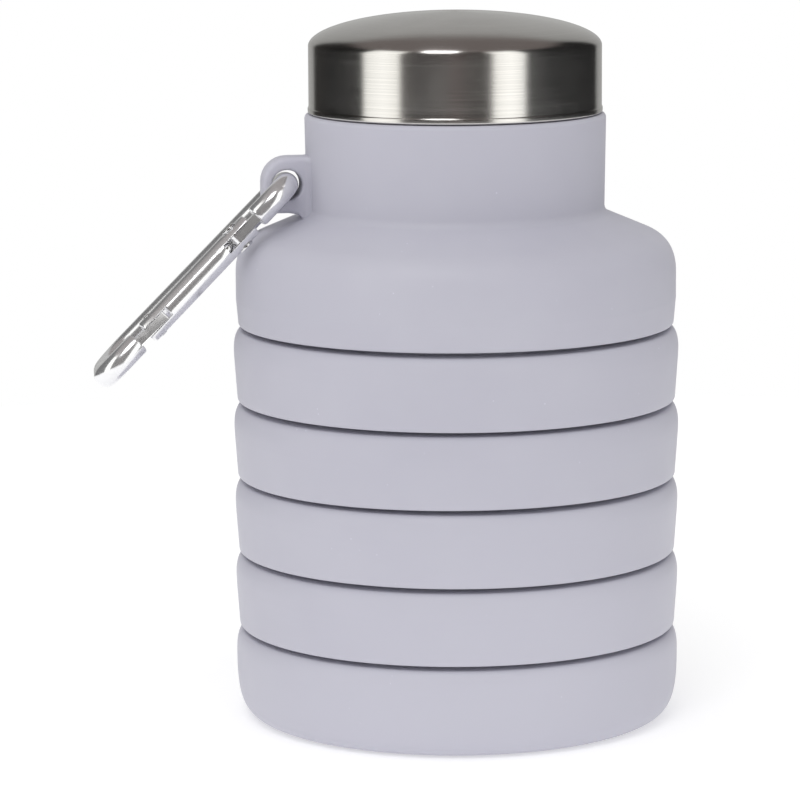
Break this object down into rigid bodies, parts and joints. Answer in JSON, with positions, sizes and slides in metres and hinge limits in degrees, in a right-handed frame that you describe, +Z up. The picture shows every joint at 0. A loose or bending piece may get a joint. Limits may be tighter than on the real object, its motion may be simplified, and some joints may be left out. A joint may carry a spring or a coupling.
{
  "type": "collapsible water bottle",
  "caption": "folding silicone drink bottle in stacked bands with a domed screw lid, a moulded neck lug and a spring-gate carabiner",
  "frame": {"origin": "centre of the foot, on the surface the bottle stands on", "axes": "+Z up the bottle's axis, -X toward the lug and its carabiner, +Y along the lug hole; the gate is on the -Y side"},
  "size_m": [0.0995, 0.0752, 0.1195],
  "materials": {
    "silicone": "matte",
    "silicone_web": "matte",
    "insert": "satin",
    "lid_steel": "brushed",
    "liner": "satin",
    "gasket": "matte",
    "hook_aluminium": "polished",
    "rivet_steel": "polished",
    "spring_steel": "bright"
  },
  "bodies": {
    "base": {"base_cup": "silicone", "fold_web_5": "silicone_web"},
    "band_4": {"ring_4": "silicone", "fold_web_4": "silicone_web"},
    "band_3": {"ring_3": "silicone", "fold_web_3": "silicone_web"},
    "band_2": {"ring_2": "silicone", "fold_web_2": "silicone_web"},
    "band_1": {"ring_1": "silicone", "fold_web_1": "silicone_web"},
    "top": {"shoulder": "silicone", "neck_insert": "insert"},
    "gasket": {"lid_gasket": "gasket"},
    "lid": {"lid_shell": "lid_steel", "lid_liner": "liner"},
    "hook": {"carabiner_frame": "hook_aluminium"},
    "gate": {"carabiner_gate": "hook_aluminium", "gate_pivot_rivet": "rivet_steel", "gate_latch_rivet": "rivet_steel", "gate_spring": "spring_steel"},
    "plunger": {"gate_plunger": "rivet_steel"}
  },
  "joints": [
    {"name": "fold_5_lift", "type": "slide", "parent": "base", "child": "band_4", "axis": [0, 0, 1], "range_m": [0, 0.015], "deforming": ["fold_web_5"]},
    {"name": "fold_4_lift", "type": "slide", "parent": "band_4", "child": "band_3", "axis": [0, 0, 1], "range_m": [0, 0.015], "deforming": ["fold_web_4"]},
    {"name": "fold_3_lift", "type": "slide", "parent": "band_3", "child": "band_2", "axis": [0, 0, 1], "range_m": [0, 0.015], "deforming": ["fold_web_3"]},
    {"name": "fold_2_lift", "type": "slide", "parent": "band_2", "child": "band_1", "axis": [0, 0, 1], "range_m": [0, 0.015], "deforming": ["fold_web_2"]},
    {"name": "fold_1_lift", "type": "slide", "parent": "band_1", "child": "top", "axis": [0, 0, 1], "range_m": [0, 0.015], "deforming": ["fold_web_1"]},
    {"name": "lid_rise", "type": "slide", "parent": "top", "child": "gasket", "axis": [0, 0, 1], "range_m": [0, 0.0131]},
    {"name": "lid_turn", "type": "hinge", "parent": "gasket", "child": "lid", "pos_m": [0, 0, 0.11375], "axis": [0, 0, 1], "range_deg": [0, 1170]},
    {"name": "hook_swing", "type": "hinge", "parent": "top", "child": "hook", "pos_m": [-0.02885, 0, 0.09113], "axis": [0, 1, 0], "range_deg": [0, 135]},
    {"name": "gate_open", "type": "hinge", "parent": "hook", "child": "gate", "pos_m": [-0.03793, -0.00755, 0.08323], "axis": [0.7046, -0.1149, -0.7002], "range_deg": [0, 30], "stiffness_Nm_per_rad": 0.02, "springref_deg": -14.32},
    {"name": "plunger_press", "type": "slide", "parent": "gate", "child": "plunger", "axis": [-0.7095, -0.1316, -0.6924], "range_m": [0, 0.00028], "deforming": ["gate_spring"]}
  ],
  "couplings": [
    {"joint": "lid_rise", "follows": "lid_turn", "m_per_rad": 0.00063662},
    {"joint": "plunger_press", "follows": "gate_open", "m_per_rad": 0.0005023}
  ]
}
